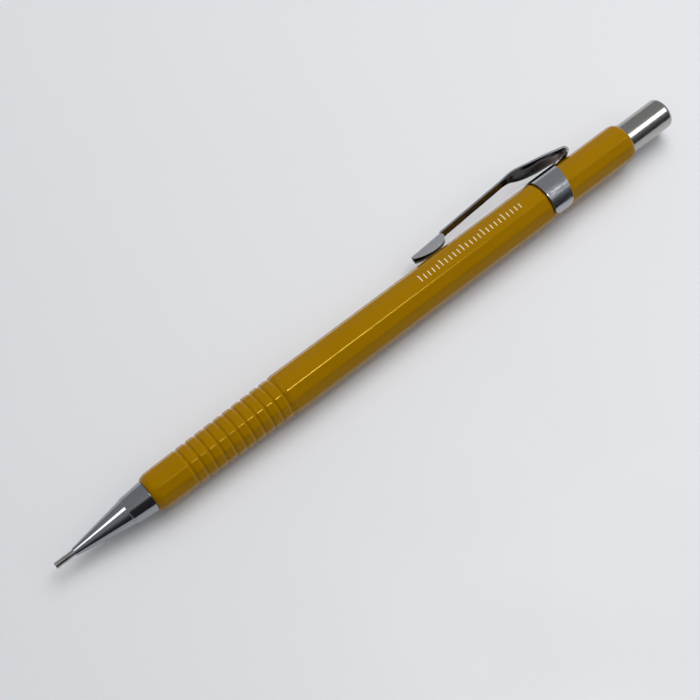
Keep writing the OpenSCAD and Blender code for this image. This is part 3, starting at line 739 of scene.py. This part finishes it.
class PENCIL_OT_clutch(Operator):
    """Build the clutch: ring, jaws, stem, sleeve, spring and connector"""

    bl_idname = "pencil.clutch"
    bl_label = "Clutch"

    def execute(self, context):
        c = sizes("pencil_clutch")
        refill = sizes("pencil_refill")
        bore = sizes("pencil_tip").bore_radius

        front, rear = span("clutch_ring")
        ring = rounded([
            (front, c.ring_bore, 0.08), (front, c.ring_radius - c.bevel, 0.0),
            (front + c.bevel, c.ring_radius, 0.1), (rear - c.bevel, c.ring_radius, 0.1),
            (rear, c.ring_radius - c.bevel, 0.0), (rear, c.ring_bore, 0.08)], 3)
        make_piece("clutch_collar", *turned(ring), "brass", "ring", ["clutch_ring"], "clutch_brass")

        front, rear = span("jaw_1")
        jaw = rounded([
            (front, bore, 0.05), (front, c.head_radius - c.bevel, 0.05),
            (front + c.bevel, c.head_radius, 0.1), (front + c.head_length, c.head_radius, 0.3),
            (front + c.head_rear, c.jaw_radius, 0.5), (rear, c.jaw_radius, 0.05), (rear, bore, 0.05)], 3)
        for i, letter in enumerate("abc"):
            third = turned(jaw, 24, FULL_TURN * i / 3 - c.jaw_sector / 2, c.jaw_sector)
            make_piece(
                f"jaw_{letter}_third", *third, "brass", f"jaw_{letter}", [f"jaw_{i + 1}"], "clutch_brass")

        stem = tube(*span("chuck_stem"), c.stem_radius, bore)
        make_piece("chuck_tail", *turned(stem, 48), "brass", "mechanism", ["chuck_stem"], "clutch_brass")

        front, rear = span("clutch_sleeve")
        flange = span("cone_tip")[1] + c.flange_gap
        sleeve = rounded([
            (front, c.neck_bore, 0.05), (front, c.sleeve_radius, 0.12), (flange, c.sleeve_radius, 0.1),
            (flange, c.flange_radius, 0.06), (flange + c.flange, c.flange_radius, 0.06),
            (flange + c.flange, c.sleeve_radius, 0.1), (rear, c.sleeve_radius, 0.08),
            (rear, c.sleeve_bore, 0.05), (front + c.neck_length, c.sleeve_bore, 0.05),
            (front + c.neck_length, c.neck_bore, 0.05)], 3)
        make_piece("clutch_housing", *turned(sleeve), "brass", "barrel", ["clutch_sleeve"], "clutch_brass")

        front, rear = span("return_spring")
        coil = spring_coil(c, front, rear)
        spring = make_piece("spring_wire", *coil, "satin", "mechanism", ["return_spring"], "spring_steel")
        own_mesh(spring)

        front, rear = span("tube_connector")
        hub = span("chuck_stem")[1]
        collar = front + c.plug_length
        connector = rounded([
            (front, c.stem_radius, 0.03), (front, c.plug_radius, 0.15), (collar, c.plug_radius, 0.0),
            (collar, refill.tube_radius, 0.08), (collar + c.collar_length, refill.tube_radius, 0.05),
            (collar + c.collar_length, refill.tube_bore, 0.0), (rear, refill.tube_bore, 0.1),
            (rear, c.connector_bore, 0.1), (hub, c.connector_bore, 0.0), (hub, c.stem_radius, 0.0)], 3)
        make_piece(
            "connector_bush", *turned(connector), "polymer", "mechanism", ["tube_connector"], "inner_plastic")
        return {"FINISHED"}


class PENCIL_OT_refill(Operator):
    """Build the lead tube, the leads, the eraser with its pin and the eraser's seat"""

    bl_idname = "pencil.refill"
    bl_label = "Leads and eraser"

    def execute(self, context):
        r = sizes("pencil_refill")
        store = tube(*span("lead_tube"), r.tube_radius, r.tube_bore)
        make_piece("reservoir_tube", *turned(store), "polymer", "mechanism", ["lead_tube"], "inner_plastic")

        front, rear = span("eraser_seat")
        floor = span("lead_tube")[1]
        seat = rounded([
            (front, r.tube_radius, 0.05), (front, r.seat_radius, 0.15), (rear, r.seat_radius, 0.2),
            (rear, r.seat_bore, 0.15), (floor, r.seat_bore, 0.0), (floor, r.tube_radius, 0.0)], 4)
        make_piece("eraser_cup", *turned(seat), "polymer", "mechanism", ["eraser_seat"], "inner_plastic")

        stick = rod(*span("eraser"), r.eraser_radius, 0.25, 0.45, 6)
        make_piece("eraser_stick", *turned(stick), "eraser", "eraser_unit", ["eraser"], "eraser_vinyl")
        pin = rod(*span("cleaning_pin"), r.pin_radius, 0.1, 0.0, 4)
        make_piece("pin_wire", *turned(pin, 32), "satin", "eraser_unit", ["cleaning_pin"], "spring_steel")
        lead = rod(*span("working_lead"), r.lead_radius, 0.08, 0.04, 4)
        make_piece("lead_stick", *turned(lead, 32), "graphite", "lead", ["working_lead"], "graphite")

        spare, spare_faces = turned(rod(*span("spare_leads"), r.lead_radius, 0.04, 0.04, 3), 32)
        points, faces = [], []
        for i in (-1, 0, 1):
            y, z = round_axis(0, r.spare_place, r.spare_middle + i * r.spare_spread)[1:]
            faces += [tuple(len(points) + n for n in face) for face in spare_faces]
            points += [(s, y + dy, z + dz) for s, dy, dz in spare]
        make_piece("spare_sticks", points, faces, "graphite", "mechanism", ["spare_leads"], "graphite")
        return {"FINISHED"}


class PENCIL_OT_cap(Operator):
    """Build the push cap"""

    bl_idname = "pencil.cap"
    bl_label = "Push cap"

    def execute(self, context):
        r = sizes("pencil_refill")
        front, rear = span("push_cap")
        # The rear end stays just inside the CAD solid's
        rear -= 0.002
        bore = r.cap_radius - r.cap_wall
        outline = rounded([
            (front, bore, 0.1), (front, r.cap_radius, 0.1), (rear, r.cap_radius, r.cap_round),
            (rear, 0.0, 0.0), (rear - r.cap_wall, 0.0, 0.0),
            (rear - r.cap_wall, bore, r.cap_round - r.cap_wall)], 10)
        make_piece("cap_shell", *turned(outline, 128), "satin", "cap", ["push_cap"], "cap_steel")
        return {"FINISHED"}


def band_sheet(c):
    """Points and faces of the band's mid surface, with its free corners rounded."""
    around, along = 120, 8
    limit = math.pi - c.band_gap / 2
    points = []
    for i in range(around + 1):
        turn = 2 * i / around - 1
        a = c.band_gap_turn + limit * turn
        to_end = min(c.band_corner, c.band_radius * limit * (1 - abs(turn)))
        inset = c.band_corner - math.sqrt(max(0, c.band_corner ** 2 - (c.band_corner - to_end) ** 2))
        front = c.band_front + inset
        rear = c.band_rear + c.band_flare * math.cos(a) - inset
        points += [round_axis(front + (rear - front) * k / along, c.band_radius, a) for k in range(along + 1)]
    return points, grid_faces(around + 1, along + 1)


def tab_sheet(c, base):
    """Points and faces of the tab's mid surface, which flattens from the band to the fold."""
    rows, across = 16, 16
    first = c.band_rear + c.band_flare - c.tab_lap
    # The tab stops short of the arm, and laps just under the band's mid surface
    gap = 0.05
    sunk = 0.02
    points = []
    for i in range(rows + 1):
        s = first + (c.fold_station - gap - first) * i / rows
        flat = ramp(i, 1, rows - 4)
        for k in range(across + 1):
            z = c.fold_width * (k / across - 0.5)
            y = math.sqrt(c.band_radius ** 2 - z * z) - sunk
            points.append((s, y + (c.fold_height - y) * flat, z))
    return points, grid_faces(rows + 1, across + 1, base=base)


def arm_line(c, steps=10):
    """The arm's mid line in side view, from fold to front end, as [station, height, heading]."""
    centre = Vector((c.fold_station, c.fold_height + c.fold_radius))
    apex = Vector((c.apex_station, c.apex_height))
    end = Vector((c.end_station, c.end_height))
    reach = apex - centre
    leave = math.atan2(reach.y, reach.x) - math.acos(c.fold_radius / reach.length)
    rise = leave + math.pi / 2
    fall = math.atan2(end.y - apex.y, end.x - apex.x) + FULL_TURN
    line = []
    # Round the fold
    for i in range(2 * steps + 1):
        a = -math.pi / 2 + (leave + math.pi / 2) * i / (2 * steps)
        x = centre.x + c.fold_radius * math.cos(a)
        line.append((x, centre.y + c.fold_radius * math.sin(a), a + math.pi / 2))
    # Straight up to the bend at the highest point
    folded = Vector(line[-1][:2])
    start = apex - c.apex_bend * math.tan((fall - rise) / 2) * Vector((math.cos(rise), math.sin(rise)))
    for i in range(1, steps):
        line.append((*folded.lerp(start, i / steps), rise))
    # Round that bend
    pivot = start + c.apex_bend * Vector((-math.sin(rise), math.cos(rise)))
    for i in range(steps + 1):
        h = rise + (fall - rise) * i / steps
        line.append((pivot.x + c.apex_bend * math.sin(h), pivot.y - c.apex_bend * math.cos(h), h))
    # Straight down to the front end, with closer points at both ends of the runner
    bent = Vector(line[-1][:2])
    run = c.runner_length / (end - bent).length
    shares = [(1 - run) * i / 36 for i in range(1, 37)]
    shares += [1 - run + run * (t / 40 - 0.11 * math.sin(math.pi * t / 20)) for t in range(1, 41)]
    for share in shares:
        line.append((*bent.lerp(end, share), fall))
    return line


def arm_half_width(c, s):
    """Half of the arm's width at a station: from its highest point it flares in two steps."""
    flare = 9 / 16 * ramp(s, c.apex_station - 2.5, c.apex_station + 2.0)
    flare += 7 / 16 * ramp(s, c.apex_station + 1.0, c.apex_station + 8.0)
    return (c.arm_width + flare * (c.fold_width - c.arm_width)) / 2


def half_section(c, half, deep):
    """Half of the arm's section from its middle to one edge, as [across, outward].

    A section of the runner has a side that goes down by deep, round a bend and with a slight bulge.
    """
    if not deep:
        return [(half * k / 3, 0.0) for k in range(4)]
    side = half - c.runner_inset
    drop = deep - c.runner_bend
    section = [(0.0, 0.0)]
    for k in range(7):
        a = math.pi / 12 * k
        section.append((side - c.runner_bend * (1 - math.sin(a)), -c.runner_bend * (1 - math.cos(a))))
    for k in range(1, 9):
        t = k / 8
        section.append((side + c.runner_bulge * drop * t * (1 - t), -c.runner_bend - drop * t))
    return section


def arm_sheet(c, runner, base):
    """Points and faces of the arm's mid surface: its runner with folded sides, or the strip behind it."""
    line = arm_line(c)
    tilt = line[-1][2] - math.pi
    drop = (c.end_height + c.runner_length / 2 * math.sin(tilt) - c.runner_seat) / math.cos(tilt)
    least = c.runner_bend + c.runner_least
    points, rows = [], 0
    for s, h, heading in line:
        along = (s - c.end_station) / c.runner_length / math.cos(tilt)
        if (along > 1.001) if runner else (along < 0.999):
            continue
        half = arm_half_width(c, s)
        # The arm leans as far as its highest point and comes upright at the fold
        lean = c.arm_lean * (1 - ramp(s, c.apex_station + 1, c.fold_station - 0.5))
        shift = half * math.sin(lean)
        # Seen from the side, the runner is a leaf that is deepest behind its middle
        swell = math.sqrt(max(0, 1 - (2 * min(1, max(0, along)) ** 1.5 - 1) ** 2))
        upper = half_section(c, half, (least + (drop - least) * swell) * runner)
        lower = half_section(c, half, (least + (drop - 2 * shift - least) * swell) * runner)
        for z, d in [(-z, d) for z, d in reversed(lower[1:])] + upper:
            out = z * math.sin(lean) + d * math.cos(lean) - shift
            z = z * math.cos(lean) - d * math.sin(lean)
            points.append((s + math.sin(heading) * out, h - math.cos(heading) * out, z))
        rows += 1
    return points, grid_faces(rows, len(points) // rows, base=base)


class PENCIL_OT_clip(Operator):
    """Build the clip: band with its tab, and arm with its runner"""

    bl_idname = "pencil.clip"
    bl_label = "Clip"

    def execute(self, context):
        c = sizes("pencil_clip")
        points, faces = band_sheet(c)
        more, joined = tab_sheet(c, len(points))
        make_piece("clip_strap", points + more, faces + joined, "sheet", "band", ["clip_band"], "clip_steel",
                   sheet=c.sheet, bevel=0.1, rim="inside")
        points, faces = arm_sheet(c, False, 0)
        more, joined = arm_sheet(c, True, len(points))
        make_piece("clip_spring", points + more, faces + joined, "tumbled", "arm", ["clip_arm"], "clip_steel",
                   sheet=c.sheet, bevel=0.06, rim="edge")
        return {"FINISHED"}


def set_table(scene):
    """A plain table that touches the barrel behind its grip and the clip's band."""
    touch = (sizes("pencil_barrel").grip_rear - stations()[0]) * MM
    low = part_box("clip_band")[0]
    # Behind the band's front edge, where the table touches it
    band_touch = 2.5 * MM
    slope = math.atan2(-low.z, low.x + band_touch - touch)
    reach = scene.pencil_studio.table_reach
    mesh = bpy.data.meshes.new("table_top")
    mesh.from_pydata([(-reach, -reach, 0), (reach, -reach, 0), (reach, reach, 0), (-reach, reach, 0)],
                     [], [(0, 1, 2, 3)])
    # Pressed laminate: matt and even
    mesh.materials.append(material(
        "Pressed laminate", scene.pencil_colours.table, (0.5, 0.6), 30, shade=0.01, relief_mm=0.001))
    table = bpy.data.objects.new("table_top", mesh)
    table.location = (touch, 0, 0)
    table.rotation_euler = Euler((0, slope, 0))
    scene.collection.objects.link(table)


def set_room(scene):
    """A grey room that is dark on the near side, which gives the metal its dark lines.

    In the middle of that side a strip is dark further up, for the broad dark line of the rear cone.
    """
    dark = (0.03, 0.03, 0.032, 1)
    pale = (0.32, 0.325, 0.335, 1)
    strip_middle = -0.08
    world = bpy.data.worlds.new("Studio")
    world.use_nodes = True
    tree = world.node_tree
    tree.nodes.clear()
    toward = add(tree, "ShaderNodeTexCoord").outputs["Generated"]
    toward = add(tree, "ShaderNodeSeparateXYZ", {"Vector": toward})
    share = add(tree, "ShaderNodeMapRange", {
        "Value": toward.outputs["Y"], "From Min": -0.95, "From Max": -0.35}, interpolation_type="SMOOTHSTEP")
    beyond = add(tree, "ShaderNodeMapRange", {
        "Value": toward.outputs["Y"], "From Min": -0.5, "From Max": -0.3})
    aside = add(tree, "ShaderNodeMath", {0: toward.outputs["X"], 1: -strip_middle}, operation="ADD")
    aside = add(tree, "ShaderNodeMath", {0: aside.outputs[0]}, operation="ABSOLUTE")
    aside = add(tree, "ShaderNodeMapRange", {"Value": aside.outputs[0], "From Min": 0.1, "From Max": 0.17})
    clear = add(tree, "ShaderNodeMath", {
        0: beyond.outputs["Result"], 1: aside.outputs["Result"]}, operation="MAXIMUM")
    share = add(tree, "ShaderNodeMath", {
        0: share.outputs["Result"], 1: clear.outputs[0]}, operation="MULTIPLY")
    room = add(tree, "ShaderNodeMix", {"Factor": share.outputs[0], 6: dark, 7: pale}, data_type="RGBA")
    room = add(tree, "ShaderNodeBackground", {"Color": room.outputs[2], "Strength": 1.0})
    add(tree, "ShaderNodeOutputWorld", {"Surface": room.outputs["Background"]})
    scene.world = world


def set_lamp(scene, name, place, wide, deep, watts, gloss=False, down=False):
    """A soft box, in metres and watts, that only lights matt surfaces.

    With gloss it only shows in shiny ones instead. It faces the frame's origin, or with down the floor.
    """
    data = bpy.data.lights.new(name, "AREA")
    data.shape = "RECTANGLE"
    data.size = wide
    data.size_y = deep
    data.energy = watts * scene.pencil_studio.light
    lamp = bpy.data.objects.new(name, data)
    lamp.location = place
    lamp.visible_glossy = gloss
    lamp.visible_diffuse = not gloss
    if not down:
        lamp.rotation_euler = (-Vector(place)).to_track_quat("-Z", "Y").to_euler()
    scene.collection.objects.link(lamp)


def set_camera(scene):
    """The camera at the photograph's angle."""
    studio = scene.pencil_studio
    data = bpy.data.cameras.new("Camera")
    data.lens = studio.lens
    data.sensor_width = 36
    data.shift_x, data.shift_y = studio.camera_shift
    data.clip_start = 0.01
    data.clip_end = 10
    camera = bpy.data.objects.new("Camera", data)
    camera.location = studio.camera_place
    camera.rotation_euler = studio.camera_turn
    scene.collection.objects.link(camera)
    scene.camera = camera


class PENCIL_OT_studio(Operator):
    """Set the table, the soft light and the camera"""

    bl_idname = "pencil.studio"
    bl_label = "Studio"

    def execute(self, context):
        scene = context.scene
        scene.view_settings.view_transform = "Standard"
        set_table(scene)
        set_room(scene)
        # Soft daylight from above the far side, which lays the pencil's shadow on its near side
        set_lamp(scene, "Key", (0.34, 0.20, 0.70), 0.65, 0.65, 5.1)
        # Faint light from the near side, which keeps that shadow and the near facets from going dark
        set_lamp(scene, "Fill", (0.30, -0.34, 0.36), 0.5, 0.5, 0.6)
        # Streak on the cap
        set_lamp(scene, "Panel", (0.262, -0.10, 0.28), 0.13, 0.165, 0.17, gloss=True, down=True)
        # Streaks along the barrel's upper edge and on the band
        set_lamp(scene, "Top", (0.153, -0.158, 0.80), 0.275, 0.15, 5.2, gloss=True)
        # Streak on the cone
        set_lamp(scene, "Glint", (-0.298, 0.28, 0.80), 0.09, 0.34, 0.33, gloss=True, down=True)
        set_camera(scene)
        return {"FINISHED"}


class PENCIL_PT_sidebar(Panel):
    """Sizes, colours and builders of the pencil"""

    bl_idname = "PENCIL_PT_sidebar"
    bl_label = "Drafting pencil"
    bl_space_type = "VIEW_3D"
    bl_region_type = "UI"
    bl_category = "Pencil"

    def draw(self, context):
        for operator in OPERATORS:
            self.layout.operator(operator.bl_idname)
        for kind, made in GROUPS.items():
            box = self.layout.box()
            box.label(text=made.__doc__.rstrip("."))
            for key in made.__annotations__:
                box.prop(getattr(context.scene, kind), key)


GROUPS = {
    "pencil_barrel": PencilBarrelSizes,
    "pencil_tip": PencilTipSizes,
    "pencil_clutch": PencilClutchSizes,
    "pencil_refill": PencilRefillSizes,
    "pencil_clip": PencilClipSizes,
    "pencil_colours": PencilColours,
    "pencil_studio": PencilStudio,
}
OPERATORS = (
    PENCIL_OT_barrel, PENCIL_OT_tip, PENCIL_OT_clutch, PENCIL_OT_refill, PENCIL_OT_cap, PENCIL_OT_clip,
    PENCIL_OT_studio,
)


def register():
    """Add the sizes, the builders and the sidebar."""
    for made in (*GROUPS.values(), *OPERATORS, PENCIL_PT_sidebar):
        bpy.utils.register_class(made)
    for kind, made in GROUPS.items():
        setattr(bpy.types.Scene, kind, PointerProperty(type=made))


def unregister():
    """Take out what register adds."""
    for kind in GROUPS:
        delattr(bpy.types.Scene, kind)
    for made in (PENCIL_PT_sidebar, *reversed(OPERATORS), *reversed(GROUPS.values())):
        bpy.utils.unregister_class(made)


def main():
    """Build everything over the CAD frame."""
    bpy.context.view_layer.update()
    register()
    for operator in OPERATORS:
        group, name = operator.bl_idname.split(".")
        result = getattr(getattr(bpy.ops, group), name)()
        if result != {"FINISHED"}:
            raise RuntimeError(f"{operator.bl_label} was not built")


if __name__ == "__main__":
    main()
